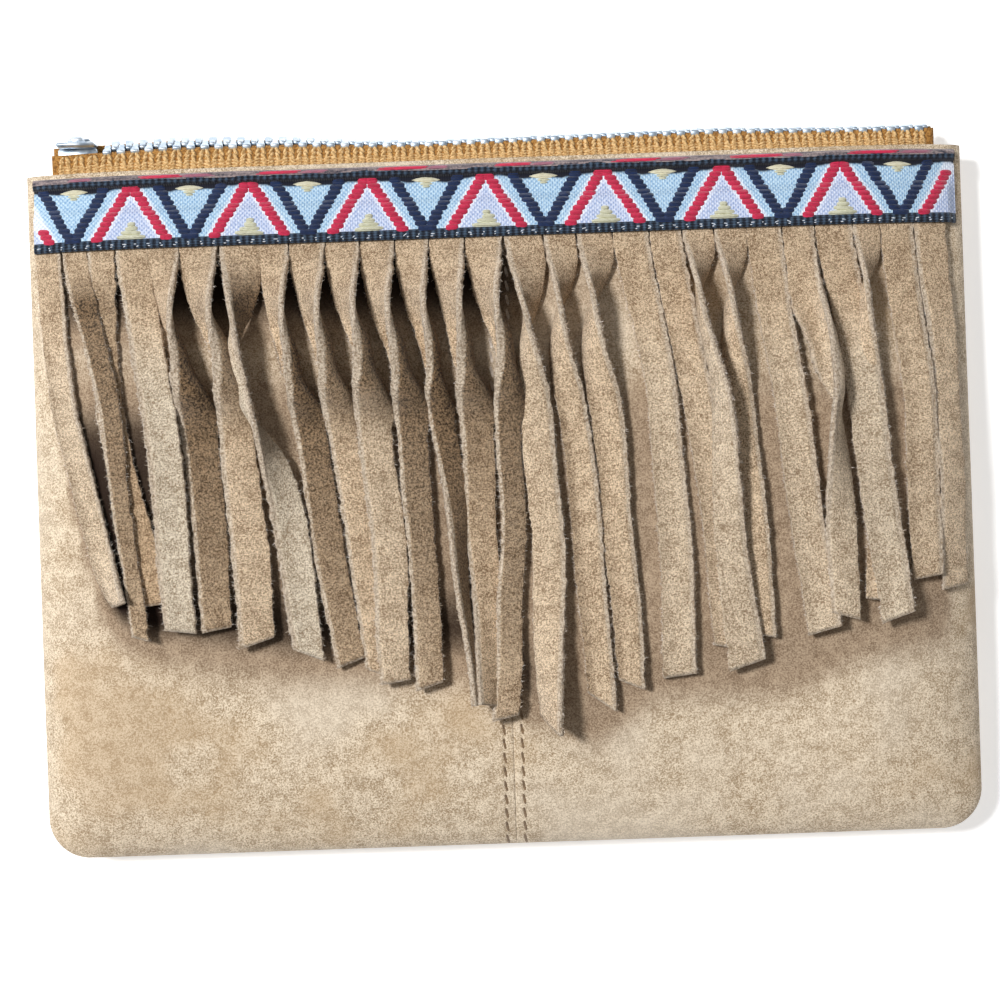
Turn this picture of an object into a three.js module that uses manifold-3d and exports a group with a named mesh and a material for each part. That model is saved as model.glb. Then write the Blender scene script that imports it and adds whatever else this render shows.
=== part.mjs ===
// Suede fringed clutch lying on its back with the zip closed.
// Millimetres. +X along the width, +Y towards the zip, +Z up out of the front.
import * as THREE from "three";
import Module from "manifold-3d";

// Overall sizes
const WIDTH = 206;
const CROWN = 22;
const SEAM_HEIGHT = 9;
const CORNER_RADIUS = 9;
const SUEDE = 1.2;
const GAP = 0.3;

// How far in from the seams the panels keep rounding over
const FRONT_ROLL = { side: 34, bottom: 42 };
const BACK_ROLL = { side: 26, bottom: 30 };

// Bottom fold, and the mouth edge of the panels, on the line that lengths are measured along
const FOLD = -2.2;
const MOUTH = 148.2;
const MOUTH_FRONT_HEIGHT = 15.6;
const MOUTH_BACK_HEIGHT = 4;
const FRONT_FALL_START = 70;
const BACK_LIFT_START = 120;

// Soft dents pressed into the front: place, depth and reach
const DENTS = [
  { x: -62, along: 34, depth: 0.9, reach: 22 },
  { x: 55, along: 26, depth: 1.1, reach: 24 },
  { x: 8, along: 58, depth: 0.7, reach: 18 },
  { x: -25, along: 120, depth: 0.6, reach: 20 },
  { x: 80, along: 96, depth: 0.8, reach: 20 },
];

// Fringe
const STRIP_COUNT = 27;
const STRIP_PITCH = 7.4;
const SLIT = 0.3;
const FRINGE_TOP = 138;
const SLIT_TOP = 131.5;
const TIP_AT_CENTRE = 24.4;
const TIP_RISE_PER_MM = 0.28;
const TIP_SLANT = 1.6;
const STRIP_ROWS = 8;

// Ribbon: places along its width and thickness there
const RIBBON_HALF_WIDTH = 101;
const RIBBON_SECTION = [
  { along: 130.4, thick: 0.7 },
  { along: 130.9, thick: 1.1 },
  { along: 132.6, thick: 1.1 },
  { along: 133.1, thick: 0.8 },
  { along: 138.4, thick: 0.8 },
  { along: 140.6, thick: 0.8 },
  { along: 144.2, thick: 0.8 },
  { along: 144.8, thick: 1.5 },
  { along: 145.5, thick: 2.1 },
  { along: 146.4, thick: 2.0 },
  { along: 147.1, thick: 1.2 },
];

// Zip
const ZIP_HALF_LENGTH = 97;
const TAPE = 0.6;
const TAPE_TUCK = 142;
const CHAIN_ALONG = 153;
const CHAIN_HEIGHT = 9.5;
const TOOTH_PITCH = 3.08;
const TOOTH_WIDTH = 1.2;
const TOOTH_DEPTH = 1.7;
const TOOTH_TIP = -0.8;
const TOOTH_ROOT = 1.4;
const SPINE_EDGE = 2.4;
const CHAIN_START = -86.4;
const CHAIN_TEETH = 59;

// Slider with its hanging pull
const SLIDER = { start: -95.8, length: 8.6 };
const SLIDER_WEB = { from: 150.7, to: 154.2, low: 8.4, high: 10.2 };
const SLIDER_OUTER = { from: 154.2, to: 155.3, low: 5.4, high: 13.6 };
const PULL_BAIL = { from: 155.3, to: 156.8, low: 8.2, high: 11.2, width: 3 };
const PULL_TAB = { from: 155.8, to: 156.8, low: 0.9, high: 8.2, width: 5 };

const MID_LENGTH = (FOLD + PULL_TAB.to) / 2;

const clamp01 = (value) => Math.min(1, Math.max(0, value));
const smooth = (value) => clamp01(value) ** 2 * (3 - 2 * clamp01(value));
const place = (x, along, height) => new THREE.Vector3(x, along - MID_LENGTH, height);

// Half width of the outline, drawn in at the rounded bottom corners
function outlineHalfWidth(along) {
  const intoCorner = Math.max(0, CORNER_RADIUS - (along - FOLD));
  return WIDTH / 2 - CORNER_RADIUS + Math.sqrt(CORNER_RADIUS ** 2 - intoCorner ** 2);
}

const roundOver = (distance, roll) => Math.sqrt(1 - (1 - clamp01(distance / roll)) ** 2);

function dentDepth(x, along) {
  let depth = 0;
  for (const dent of DENTS) {
    const spread = ((x - dent.x) ** 2 + (along - dent.along) ** 2) / dent.reach ** 2;
    depth += dent.depth * Math.exp(-spread);
  }
  return depth;
}

// Height of the front's outer face above the table
function frontHeight(x, along) {
  const base = SEAM_HEIGHT + GAP / 2;
  const side = roundOver(outlineHalfWidth(along) - Math.abs(x), FRONT_ROLL.side);
  const bottom = roundOver(along - FOLD, FRONT_ROLL.bottom);
  const fallen = smooth((along - FRONT_FALL_START) / (MOUTH - FRONT_FALL_START));
  const rise = THREE.MathUtils.lerp(CROWN - base, MOUTH_FRONT_HEIGHT - base, fallen);
  return base + (rise - dentDepth(x, along)) * side * bottom;
}

// Height of the back's outer face, flat on the table over its middle
function backHeight(x, along) {
  const base = SEAM_HEIGHT - GAP / 2;
  const side = roundOver(outlineHalfWidth(along) - Math.abs(x), BACK_ROLL.side);
  const bottom = roundOver(along - FOLD, BACK_ROLL.bottom);
  const lift = MOUTH_BACK_HEIGHT * smooth((along - BACK_LIFT_START) / (MOUTH - BACK_LIFT_START));
  return base - (base - lift) * side * bottom;
}

// Outward direction of a rounded panel face; faceUp is 1 for the front and -1 for the back
function panelNormal(x, along, roll, depth, faceUp) {
  const edgeDistance = clamp01((outlineHalfWidth(along) - Math.abs(x)) / roll.side);
  const bottomDistance = clamp01((along - FOLD) / roll.bottom);
  const sideSine = roundOver(edgeDistance, 1);
  const bottomSine = roundOver(bottomDistance, 1);
  const normal = new THREE.Vector3(
    Math.sign(x) * depth * roll.bottom * (1 - edgeDistance) * bottomSine ** 2,
    -depth * roll.side * (1 - bottomDistance) * sideSine ** 2,
    faceUp * roll.side * roll.bottom * sideSine * bottomSine,
  );
  if (normal.length() < 1e-6) {
    normal.set(Math.sign(x), -1, 0);
  }
  return normal.normalize();
}

// A closed sheet on a lattice: two skins, and walls wherever a filled cell meets an empty one
function sheetSolid(columns, rows, upper, lower, filled = () => true) {
  const positions = [];
  for (const skin of [upper, lower]) {
    for (let row = 0; row < rows; row += 1) {
      for (let column = 0; column < columns; column += 1) {
        positions.push(...skin(column, row).toArray());
      }
    }
  }
  const isFilled = (column, row) =>
    column >= 0 && row >= 0 && column < columns - 1 && row < rows - 1 && filled(column, row);
  const indices = [];
  const addQuad = (a, b, c, d) => indices.push(a, b, c, a, c, d);
  for (let row = 0; row < rows - 1; row += 1) {
    for (let column = 0; column < columns - 1; column += 1) {
      if (!isFilled(column, row)) {
        continue;
      }
      const start = row * columns + column;
      const corners = [start, start + 1, start + 1 + columns, start + columns];
      const under = corners.map((corner) => corner + columns * rows);
      addQuad(...corners);
      addQuad(under[3], under[2], under[1], under[0]);
      const neighbours = [[column, row - 1], [column + 1, row], [column, row + 1], [column - 1, row]];
      neighbours.forEach(([nextColumn, nextRow], side) => {
        if (!isFilled(nextColumn, nextRow)) {
          const end = (side + 1) % 4;
          addQuad(under[side], under[end], corners[end], corners[side]);
        }
      });
    }
  }
  const geometry = new THREE.BufferGeometry();
  geometry.setAttribute("position", new THREE.Float32BufferAttribute(positions, 3));
  geometry.setIndex(indices);
  return geometry;
}

// Stations from one end to the other, crowded towards both rounded ends
function crowdedStations(halfSpan, count) {
  const stations = [];
  for (let index = 0; index < count; index += 1) {
    const turn = index / (count - 1) - 0.5;
    stations.push(halfSpan * Math.sin(turn * Math.PI));
  }
  return stations;
}

// Places in from a seam: even turns around the roll, then even steps over the flat
function rollStations(roll, rollSteps, flatEnd, flatSteps, seam = 0) {
  const stations = [];
  for (let step = 0; step <= rollSteps; step += 1) {
    stations.push(seam + roll * (1 - Math.cos((step / rollSteps) * Math.PI / 2)));
  }
  for (let step = 1; step <= flatSteps; step += 1) {
    stations.push(THREE.MathUtils.lerp(seam + roll, flatEnd, step / flatSteps));
  }
  return stations;
}

// Front panel halves
function frontPanel(side) {
  const alongStations = rollStations(FRONT_ROLL.bottom, 6, MOUTH, 9, FOLD);
  const flatEnd = WIDTH / 2 - GAP / 2;
  const insets = rollStations(FRONT_ROLL.side, 6, flatEnd, 6);
  if (side > 0) {
    insets.reverse();
  }
  const outer = (column, row) => {
    const along = alongStations[row];
    const inset = insets[column] * (outlineHalfWidth(along) - GAP / 2) / flatEnd;
    const x = side * (outlineHalfWidth(along) - inset);
    return place(x, along, frontHeight(x, along));
  };
  const inner = (column, row) => {
    const point = outer(column, row);
    const depth = CROWN - SEAM_HEIGHT;
    const atSeam = insets[column] === flatEnd;
    const normal = panelNormal(point.x, alongStations[row], FRONT_ROLL, depth, 1);
    if (atSeam) {
      normal.x = 0;
      normal.normalize();
    }
    point.addScaledVector(normal, -SUEDE);
    point.z = Math.max(point.z, SEAM_HEIGHT + GAP / 2);
    return point;
  };
  return sheetSolid(insets.length, alongStations.length, outer, inner);
}

// Back panel
function backPanel() {
  const alongStations = rollStations(BACK_ROLL.bottom, 6, BACK_LIFT_START, 5, FOLD);
  for (let step = 1; step <= 4; step += 1) {
    alongStations.push(THREE.MathUtils.lerp(BACK_LIFT_START, MOUTH, step / 4));
  }
  const half = rollStations(BACK_ROLL.side, 6, WIDTH / 2, 6);
  const insets = [...half, ...half.slice(0, -1).reverse()];
  const outer = (column, row) => {
    const along = alongStations[row];
    const reach = outlineHalfWidth(along);
    const side = column < half.length ? -1 : 1;
    const x = side * (reach - insets[column] * reach / (WIDTH / 2));
    return place(x, along, backHeight(x, along));
  };
  const inner = (column, row) => {
    const point = outer(column, row);
    const normal = panelNormal(point.x, alongStations[row], BACK_ROLL, SEAM_HEIGHT, -1);
    point.addScaledVector(normal, -SUEDE);
    point.z = Math.min(point.z, SEAM_HEIGHT - GAP / 2);
    return point;
  };
  return sheetSolid(insets.length, alongStations.length, inner, outer);
}

// Fringe: a header under the ribbon, slit into strips whose tips make a shallow V
function fringe() {
  const headerAlongs = [FRINGE_TOP, SLIT_TOP + 2.5, SLIT_TOP];
  const rows = headerAlongs.length + STRIP_ROWS;
  const columns = STRIP_COUNT * 2;
  const columnX = (column) => {
    const strip = Math.floor(column / 2);
    const left = (strip - STRIP_COUNT / 2) * STRIP_PITCH + SLIT / 2;
    return column % 2 === 0 ? left : left + STRIP_PITCH - SLIT;
  };
  const tipAlong = (column) => {
    const strip = Math.floor(column / 2);
    const middle = (strip + 0.5 - STRIP_COUNT / 2) * STRIP_PITCH;
    const slant = (column % 2 === 0 ? 1 : -1) * TIP_SLANT / 2 * Math.sign(middle);
    return TIP_AT_CENTRE + TIP_RISE_PER_MM * Math.abs(middle) - slant;
  };
  const rowAlong = (column, row) => {
    const fromTop = rows - 1 - row;
    if (fromTop < headerAlongs.length) {
      return headerAlongs[fromTop];
    }
    const share = (fromTop - headerAlongs.length + 1) / STRIP_ROWS;
    return THREE.MathUtils.lerp(SLIT_TOP, tipAlong(column), share);
  };
  const skin = (standOff) => (column, row) => {
    const along = rowAlong(column, row);
    const x = columnX(column);
    return place(x, along, frontHeight(x, along) + standOff);
  };
  const filled = (column, row) => row >= STRIP_ROWS || column % 2 === 0;
  return sheetSolid(columns, rows, skin(GAP + SUEDE), skin(GAP), filled);
}

// Ribbon: lies over the fringe header, then steps down to the panel, and rolls at its top edge
function ribbon() {
  const stations = crowdedStations(RIBBON_HALF_WIDTH, 29);
  const standOff = (along) => {
    const stepDown = clamp01((along - FRINGE_TOP - GAP) / 2.2);
    return GAP + (SUEDE + GAP) * (1 - stepDown);
  };
  const skin = (isOuter) => (column, row) => {
    const { along, thick } = RIBBON_SECTION[row];
    const x = stations[column];
    const height = frontHeight(x, along) + standOff(along) + (isOuter ? thick : 0);
    return place(x, along, height);
  };
  return sheetSolid(stations.length, RIBBON_SECTION.length, skin(true), skin(false));
}

// Zip tape: tucked inside the panel, then sloping out to the chain
function zipTape(side) {
  const stations = crowdedStations(ZIP_HALF_LENGTH, 29);
  const panelFace = side > 0 ? frontHeight : backHeight;
  const clear = SUEDE + GAP * 2;
  const middle = (x) => [
    [TAPE_TUCK, panelFace(x, TAPE_TUCK) - side * (clear + TAPE / 2)],
    [MOUTH - 2, panelFace(x, MOUTH - 2) - side * (clear + TAPE / 2)],
    [MOUTH + 0.3, panelFace(x, MOUTH) - side * (clear + TAPE / 2)],
    [CHAIN_ALONG, CHAIN_HEIGHT + side * (SPINE_EDGE + GAP + TAPE)],
  ];
  const skin = (up) => (column, row) => {
    const x = stations[column];
    const [along, height] = middle(x)[row];
    return place(x, along + up * side * TAPE * 0.3 * (row > 1 ? 1 : 0), height + up * TAPE / 2);
  };
  return sheetSolid(stations.length, 4, skin(1), skin(-1));
}

// Row of zip teeth joined by the bead along the tape's edge
function zipTeeth(side) {
  const offset = side > 0 ? 0 : TOOTH_PITCH / 2;
  const start = CHAIN_START + offset;
  const end = start + CHAIN_TEETH * TOOTH_PITCH;
  const outline = new THREE.Shape();
  outline.moveTo(start, SPINE_EDGE * side);
  outline.lineTo(start, TOOTH_ROOT * side);
  for (let tooth = 0; tooth < CHAIN_TEETH; tooth += 1) {
    const left = start + (tooth + 0.5) * TOOTH_PITCH - TOOTH_WIDTH / 2;
    outline.lineTo(left, TOOTH_ROOT * side);
    outline.lineTo(left, TOOTH_TIP * side);
    outline.lineTo(left + TOOTH_WIDTH, TOOTH_TIP * side);
    outline.lineTo(left + TOOTH_WIDTH, TOOTH_ROOT * side);
  }
  outline.lineTo(end, TOOTH_ROOT * side);
  outline.lineTo(end, SPINE_EDGE * side);
  const geometry = new THREE.ExtrudeGeometry(outline, { depth: TOOTH_DEPTH, bevelEnabled: false });
  geometry.rotateX(Math.PI / 2);
  geometry.translate(0, CHAIN_ALONG + TOOTH_DEPTH / 2 - MID_LENGTH, CHAIN_HEIGHT);
  return geometry;
}

// Slider: an outer plate on a web that runs between the tapes, with a pull hanging off the plate
async function slider() {
  const wasm = await Module();
  wasm.setup();
  const overlap = 0.05;
  const block = (part, width) => {
    const size = [width, part.to - part.from + overlap * 2, part.high - part.low + overlap * 2];
    const centre = place(
      SLIDER.start + SLIDER.length / 2,
      (part.from + part.to) / 2,
      (part.low + part.high) / 2,
    );
    return wasm.Manifold.cube(size, true).translate(centre.toArray());
  };
  const solid = block(SLIDER_WEB, SLIDER.length)
    .add(block(SLIDER_OUTER, SLIDER.length))
    .add(block(PULL_BAIL, PULL_BAIL.width))
    .add(block(PULL_TAB, PULL_TAB.width));
  const { vertProperties, triVerts, numProp } = solid.getMesh();
  const geometry = new THREE.BufferGeometry();
  const buffer = new THREE.InterleavedBuffer(vertProperties, numProp);
  geometry.setAttribute("position", new THREE.InterleavedBufferAttribute(buffer, 3, 0));
  geometry.setIndex(Array.from(triVerts));
  return geometry;
}

const FINISHES = {
  suede: { color: 0xb99c76, roughness: 0.95, metalness: 0 },
  fringe_suede: { color: 0xab8c63, roughness: 0.95, metalness: 0 },
  ribbon_weave: { color: 0x9fb8d2, roughness: 0.8, metalness: 0 },
  zip_tape: { color: 0xd2a258, roughness: 0.85, metalness: 0 },
  zip_metal: { color: 0xd8d8d6, roughness: 0.3, metalness: 1 },
};

function named(name, geometry, finish) {
  const material = new THREE.MeshStandardMaterial(FINISHES[finish]);
  material.name = finish;
  const mesh = new THREE.Mesh(geometry, material);
  mesh.name = name;
  return mesh;
}

const clutch = new THREE.Group();
clutch.name = "suede_fringed_clutch";
clutch.add(
  named("front_panel_left", frontPanel(-1), "suede"),
  named("front_panel_right", frontPanel(1), "suede"),
  named("back_panel", backPanel(), "suede"),
  named("fringe", fringe(), "fringe_suede"),
  named("ribbon_trim", ribbon(), "ribbon_weave"),
  named("zip_tape_front", zipTape(1), "zip_tape"),
  named("zip_tape_back", zipTape(-1), "zip_tape"),
  named("zip_teeth_front", zipTeeth(1), "zip_metal"),
  named("zip_teeth_back", zipTeeth(-1), "zip_metal"),
  named("zip_slider", await slider(), "zip_metal"),
);

export default clutch;
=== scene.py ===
"""Looks of a suede fringed clutch lying on its back, front up.

Shapes are worked out in millimetres: x along the width, along from the bottom fold
towards the zip, height above the table. They become metres when a mesh is made.
"""
import math
from collections import namedtuple

import bmesh
import bpy
import numpy as np
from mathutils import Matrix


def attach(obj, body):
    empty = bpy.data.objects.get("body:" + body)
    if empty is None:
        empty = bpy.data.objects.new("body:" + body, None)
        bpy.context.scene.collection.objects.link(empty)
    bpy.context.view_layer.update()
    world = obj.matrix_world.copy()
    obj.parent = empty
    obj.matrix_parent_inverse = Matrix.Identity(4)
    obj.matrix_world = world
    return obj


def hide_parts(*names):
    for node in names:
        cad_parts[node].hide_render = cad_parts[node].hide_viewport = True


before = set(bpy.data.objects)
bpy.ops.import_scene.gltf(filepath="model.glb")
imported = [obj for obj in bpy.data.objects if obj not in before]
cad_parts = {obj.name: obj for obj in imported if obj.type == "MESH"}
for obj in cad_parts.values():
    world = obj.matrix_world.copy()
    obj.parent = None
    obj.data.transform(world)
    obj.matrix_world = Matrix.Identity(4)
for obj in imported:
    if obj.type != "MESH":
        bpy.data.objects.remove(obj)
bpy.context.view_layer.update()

# Sizes shared with the solids
FOLD = -2.2
MID_LENGTH = 77.3
WIDTH = 206.0
CROWN = 22.0
SEAM_HEIGHT = 9.0
CORNER_RADIUS = 9.0
SUEDE = 1.2
GAP = 0.3
FRONT_ROLL = (34.0, 42.0)
BACK_ROLL = (26.0, 30.0)
MOUTH = 148.2
MOUTH_FRONT_HEIGHT = 15.6
MOUTH_BACK_HEIGHT = 4.0
FRONT_FALL_START = 70.0
BACK_LIFT_START = 120.0
FRINGE_TOP = 138.0
RIBBON_HALF_WIDTH = 101.0
RIBBON_LOW = 130.9
RIBBON_HIGH = 147.1
CHAIN_ALONG = 153.0
CHAIN_HEIGHT = 9.5
TOOTH_PITCH = 3.08
CHAIN_START = -86.4
CHAIN_TEETH = 59
ZIP_HALF_LENGTH = 97.0

Dent = namedtuple("Dent", "x along depth reach")
DENTS = [
    Dent(-62, 34, 0.9, 22),
    Dent(55, 26, 1.1, 24),
    Dent(8, 58, 0.7, 18),
    Dent(-25, 120, 0.6, 20),
    Dent(80, 96, 0.8, 20),
]

chance = np.random.default_rng(7)


# Shader building


class Wire:
    """A shader value that plain arithmetic can be written on."""

    def __init__(self, finish, socket):
        self.finish = finish
        self.socket = socket

    def of(self, operation, first, second=0.0):
        return self.finish.node("ShaderNodeMath", {"operation": operation}, {0: first, 1: second})

    def __add__(self, other):
        return self.of("ADD", self, other)

    def __sub__(self, other):
        return self.of("SUBTRACT", self, other)

    def __mul__(self, other):
        return self.of("MULTIPLY", self, other)

    def __truediv__(self, other):
        return self.of("DIVIDE", self, other)

    def __abs__(self):
        return self.of("ABSOLUTE", self)

    def fraction(self):
        return self.of("FRACT", self)

    def wave(self):
        return self.of("SINE", self)

    def ridges(self, pitch):
        """Even ridges from 0 to 1, one to each pitch."""
        return (self * (2 * math.pi / pitch)).wave() * 0.5 + 0.5

    def ease(self, low, high):
        """0 at low, 1 at high, smooth between."""
        settings = {"interpolation_type": "SMOOTHSTEP"}
        return self.finish.node("ShaderNodeMapRange", settings, {0: self, 1: low, 2: high})


class Finish:
    """A material, or the sky, made of nodes."""

    def __init__(self, owner):
        self.owner = owner
        self.owner.use_nodes = True
        self.tree = self.owner.node_tree
        self.tree.nodes.clear()

    def node(self, kind, settings, sockets, output=0):
        made = self.tree.nodes.new(kind)
        for key, value in settings.items():
            setattr(made, key, value)
        for key, value in sockets.items():
            if isinstance(value, Wire):
                self.tree.links.new(value.socket, made.inputs[key])
            else:
                made.inputs[key].default_value = value
        return Wire(self, made.outputs[output])

    def place(self):
        """Position on the object in millimetres."""
        spot = self.node("ShaderNodeTexCoord", {}, {}, "Object")
        return self.node("ShaderNodeVectorMath", {"operation": "SCALE"}, {0: spot, "Scale": 1000.0})

    def axis(self, vector, name):
        return self.node("ShaderNodeSeparateXYZ", {}, {0: vector}, name)

    def field(self, name):
        """A value painted on the mesh's points."""
        return self.node("ShaderNodeAttribute", {"attribute_name": name}, {}, "Fac")

    def noise(self, vector, per_mm, detail, roughness=0.5):
        sockets = {"Vector": vector, "Scale": per_mm, "Detail": detail, "Roughness": roughness}
        return self.node("ShaderNodeTexNoise", {}, sockets)

    def mix(self, share, first, second):
        sockets = {0: share, 6: first, 7: second}
        return self.node("ShaderNodeMix", {"data_type": "RGBA"}, sockets, 2)

    def surface(self, colour, roughness, relief=None, depth_mm=0.1, sheen=0.0, specular=0.5, **more):
        sockets = {key.replace("_", " "): value for key, value in more.items()}
        sockets |= {"Base Color": colour, "Roughness": roughness}
        sockets |= {"Sheen Weight": sheen, "Specular IOR Level": specular}
        if relief is not None:
            bump = {"Strength": 1.0, "Distance": depth_mm / 1000, "Height": relief}
            sockets["Normal"] = self.node("ShaderNodeBump", {}, bump)
        shader = self.node("ShaderNodeBsdfPrincipled", {}, sockets)
        return self.end_with("ShaderNodeOutputMaterial", shader)

    def end_with(self, kind, shader):
        output = self.tree.nodes.new(kind)
        self.tree.links.new(shader.socket, output.inputs["Surface"])
        return self.owner


def tint(red, green, blue):
    """A screen colour, 0 to 255, as shader values."""
    steps = [value / 255 for value in (red, green, blue)]
    linear = [step / 12.92 if step <= 0.04045 else ((step + 0.055) / 1.055) ** 2.4 for step in steps]
    return (*linear, 1.0)


def new_finish(name):
    """A material to build, and the place on the object that its patterns follow."""
    finish = Finish(bpy.data.materials.new(name))
    return finish, finish.place()


# Finishes


def body_suede():
    finish, place = new_finish("body_suede")
    nap = finish.noise(place, 3.2, 4.0, 0.75)
    brush = finish.noise(place, 0.34, 3.0, 0.6)
    patch = finish.noise(place, 0.035, 2.0, 0.5)
    grain = finish.noise(place, 2.1, 4.0, 0.8)
    speckle = (nap * 0.5 + grain * 0.34 + brush * 0.16).ease(0.43, 0.57)
    colour = finish.mix(speckle, tint(154, 131, 102), tint(236, 219, 194))
    worn = finish.mix(0.4, colour, tint(222, 209, 190))
    colour = finish.mix(patch.ease(0.46, 0.72), colour, worn)
    shaded = finish.mix(0.45, colour, tint(186, 158, 122))
    colour = finish.mix(patch.ease(0.48, 0.34), colour, shaded)
    # Painted shade under the fringe: first a duller brown, then near black in the deepest gaps between
    # the strips.
    painted_shade = finish.field("painted_shade")
    painted_shade_colour = finish.mix(speckle, tint(126, 105, 84), tint(182, 160, 135))
    colour = finish.mix(painted_shade.ease(0.0, 0.5), colour, painted_shade_colour)
    colour = finish.mix(painted_shade.ease(0.5, 1.0), colour, tint(36, 23, 16))
    relief = nap + brush * 1.5
    return finish.surface(colour, 0.95, relief, 0.2, sheen=0.15, specular=0.12)


def fringe_suede():
    finish, place = new_finish("fringe_suede")
    nap = finish.noise(place, 3.9, 4.0, 0.78)
    brush = finish.noise(place, 0.3, 3.0, 0.6)
    grain = finish.noise(place, 2.1, 4.0, 0.8)
    speckle = (nap * 0.5 + grain * 0.38 + brush * 0.12).ease(0.43, 0.57)
    clump = grain.ease(0.4, 0.62)
    tone = finish.field("tone")
    dark = finish.mix(tone, tint(136, 104, 73), tint(157, 135, 108))
    pale = finish.mix(tone, tint(252, 221, 182), tint(252, 240, 218))
    colour = finish.mix(speckle, dark, pale)
    # The near-black to brown mix darkens strips: their darker back side, and painted shade on faces
    # turned from the light and on low sides lying under a neighbour's raised edge.
    rough = finish.mix(clump * 0.75 + speckle * 0.25, tint(20, 13, 8), tint(160, 130, 97))
    colour = finish.mix(finish.field("rough_side_and_shade"), colour, rough)
    edge = finish.field("edge")
    fluff = finish.noise(place, 2.0, 4.0, 0.75)
    worn = finish.noise(place, 0.16, 2.0)
    cut_colour = finish.mix(fluff.ease(0.36, 0.62), tint(166, 140, 112), tint(246, 229, 206))
    cut = edge * (worn + 0.55) + (fluff - 0.5) * 2.0 * edge
    colour = finish.mix(cut.ease(0.15, 0.85), colour, cut_colour)
    relief = nap + brush * 1.2 + fluff * edge * 2.0
    return finish.surface(colour, 0.95, relief, 0.45, sheen=0.15, specular=0.1, Sheen_Roughness=0.45)


def edge_fluff():
    finish, place = new_finish("edge_fluff")
    fluff = finish.noise(place, 0.9, 2.0)
    colour = finish.mix(fluff.ease(0.35, 0.65), tint(214, 192, 166), tint(244, 236, 228))
    return finish.surface(colour, 0.9, sheen=0.2, specular=0.1)


RIBBON_REPEAT = 25.75
RIBBON_PHASE = -1.9
CHEVRON_LOW = 133.2
CHEVRON_HIGH = 144.0
RED_SPREAD = (7.5, 0.75)
NAVY_SPREAD = (0.6, 6.7)
RIB_PITCH = 1.39
BORDER_HIGH = 132.9
NAVY_BELOW = 132.95
TUCK_ALONG = 144.2
NAVY_ABOVE = 144.85
ROLL_ALONG = 145.8
SELVEDGE_ABOVE = 145.85


def ribbon_ground():
    finish, place = new_finish("ribbon_ground")
    across = finish.axis(place, "X")
    up = finish.axis(place, "Y") + MID_LENGTH
    climb = (up - CHEVRON_LOW) / (CHEVRON_HIGH - CHEVRON_LOW)
    turn = abs(((across - RIBBON_PHASE) / RIBBON_REPEAT + 0.5).fraction() - 0.5) * RIBBON_REPEAT
    past_red = turn - RED_SPREAD[0] - climb * (RED_SPREAD[1] - RED_SPREAD[0])
    halo = abs(past_red).ease(2.3, 1.4)
    in_peak = past_red.ease(0.5, -0.5)
    rib = across.ridges(0.52)
    pick = up.ridges(0.55)
    fuzz = finish.noise(place, 2.4, 2.0)
    basket = (across * (math.pi / 0.5)).wave() * (up * (math.pi / 0.5)).wave() * 0.5 + 0.5
    weave = (basket * 0.34 + fuzz * 0.7).ease(0.22, 0.82)
    blue = finish.mix(weave, tint(116, 154, 192), tint(194, 217, 231))
    white = finish.mix(weave, tint(200, 206, 222), tint(238, 242, 248))
    lilac = finish.mix(weave, tint(146, 154, 196), tint(218, 216, 236))
    colour = finish.mix(in_peak * 0.6, blue, lilac)
    colour = finish.mix(halo * 0.75, colour, white)
    # Painted shade, near black, in the recess under the rolled top edge; the worn noise here only makes
    # its lower edge wavy.
    worn = finish.noise(place, 0.25, 2.0)
    painted_recess_shade = (up + turn.ease(2.0, 9.0) * 0.7 + (worn - 0.5) * 1.4).ease(143.8, 144.4)
    colour = finish.mix(painted_recess_shade, colour, tint(22, 24, 36))
    return finish.surface(colour, 0.85, rib * 0.6 + pick * 0.4, 0.1, sheen=0.15, specular=0.2)


def ribbon_navy():
    finish, place = new_finish("ribbon_navy")
    across = finish.axis(place, "X")
    up = finish.axis(place, "Y")
    rib = across.ridges(RIB_PITCH)
    pick = up.ridges(0.6)
    fuzz = finish.noise(place, 2.2, 3.0)
    weave = (rib * 0.35 + pick * 0.2 + fuzz * 0.6).ease(0.35, 1.0)
    colour = finish.mix(weave, tint(14, 19, 31), tint(72, 91, 112))
    return finish.surface(colour, 0.8, rib + pick * 0.4, 0.2, sheen=0.1, specular=0.25)


def ribbon_selvedge():
    """The turned-in top edge, faded grey with stray coloured threads."""
    finish, place = new_finish("ribbon_selvedge")
    stretch = {0: place, 1: (0.14, 1.6, 1.6)}
    drawn = finish.node("ShaderNodeVectorMath", {"operation": "MULTIPLY"}, stretch)
    strand = finish.noise(drawn, 1.0, 3.0, 0.6)
    fuzz = finish.noise(place, 2.0, 3.0)
    faded = (strand * 0.6 + fuzz * 0.4).ease(0.32, 0.68)
    colour = finish.mix(faded, tint(44, 44, 58), tint(160, 144, 142))
    return finish.surface(colour, 0.9, strand + fuzz, 0.15, sheen=0.2, specular=0.2)


def thread(name, dark, pale):
    """Brocade thread: fine filaments along the float."""
    finish, place = new_finish(name)
    up = finish.axis(place, "Y")
    fuzz = finish.noise(place, 1.4, 3.0)
    strand = (up * (2 * math.pi / 0.28) + fuzz * 5).wave() * 0.5 + 0.5
    colour = finish.mix((strand * 0.5 + fuzz * 0.5).ease(0.22, 0.72), tint(*dark), tint(*pale))
    return finish.surface(colour, 0.6, strand, 0.1, sheen=0.2, specular=0.3)


def tape_knit(name, dark, pale):
    finish, place = new_finish(name)
    fuzz = finish.noise(place, 2.2, 3.0)
    colour = finish.mix(fuzz.ease(0.32, 0.68), tint(*dark), tint(*pale))
    return finish.surface(colour, 0.8, fuzz, 0.12, sheen=0.15, specular=0.2)


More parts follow.
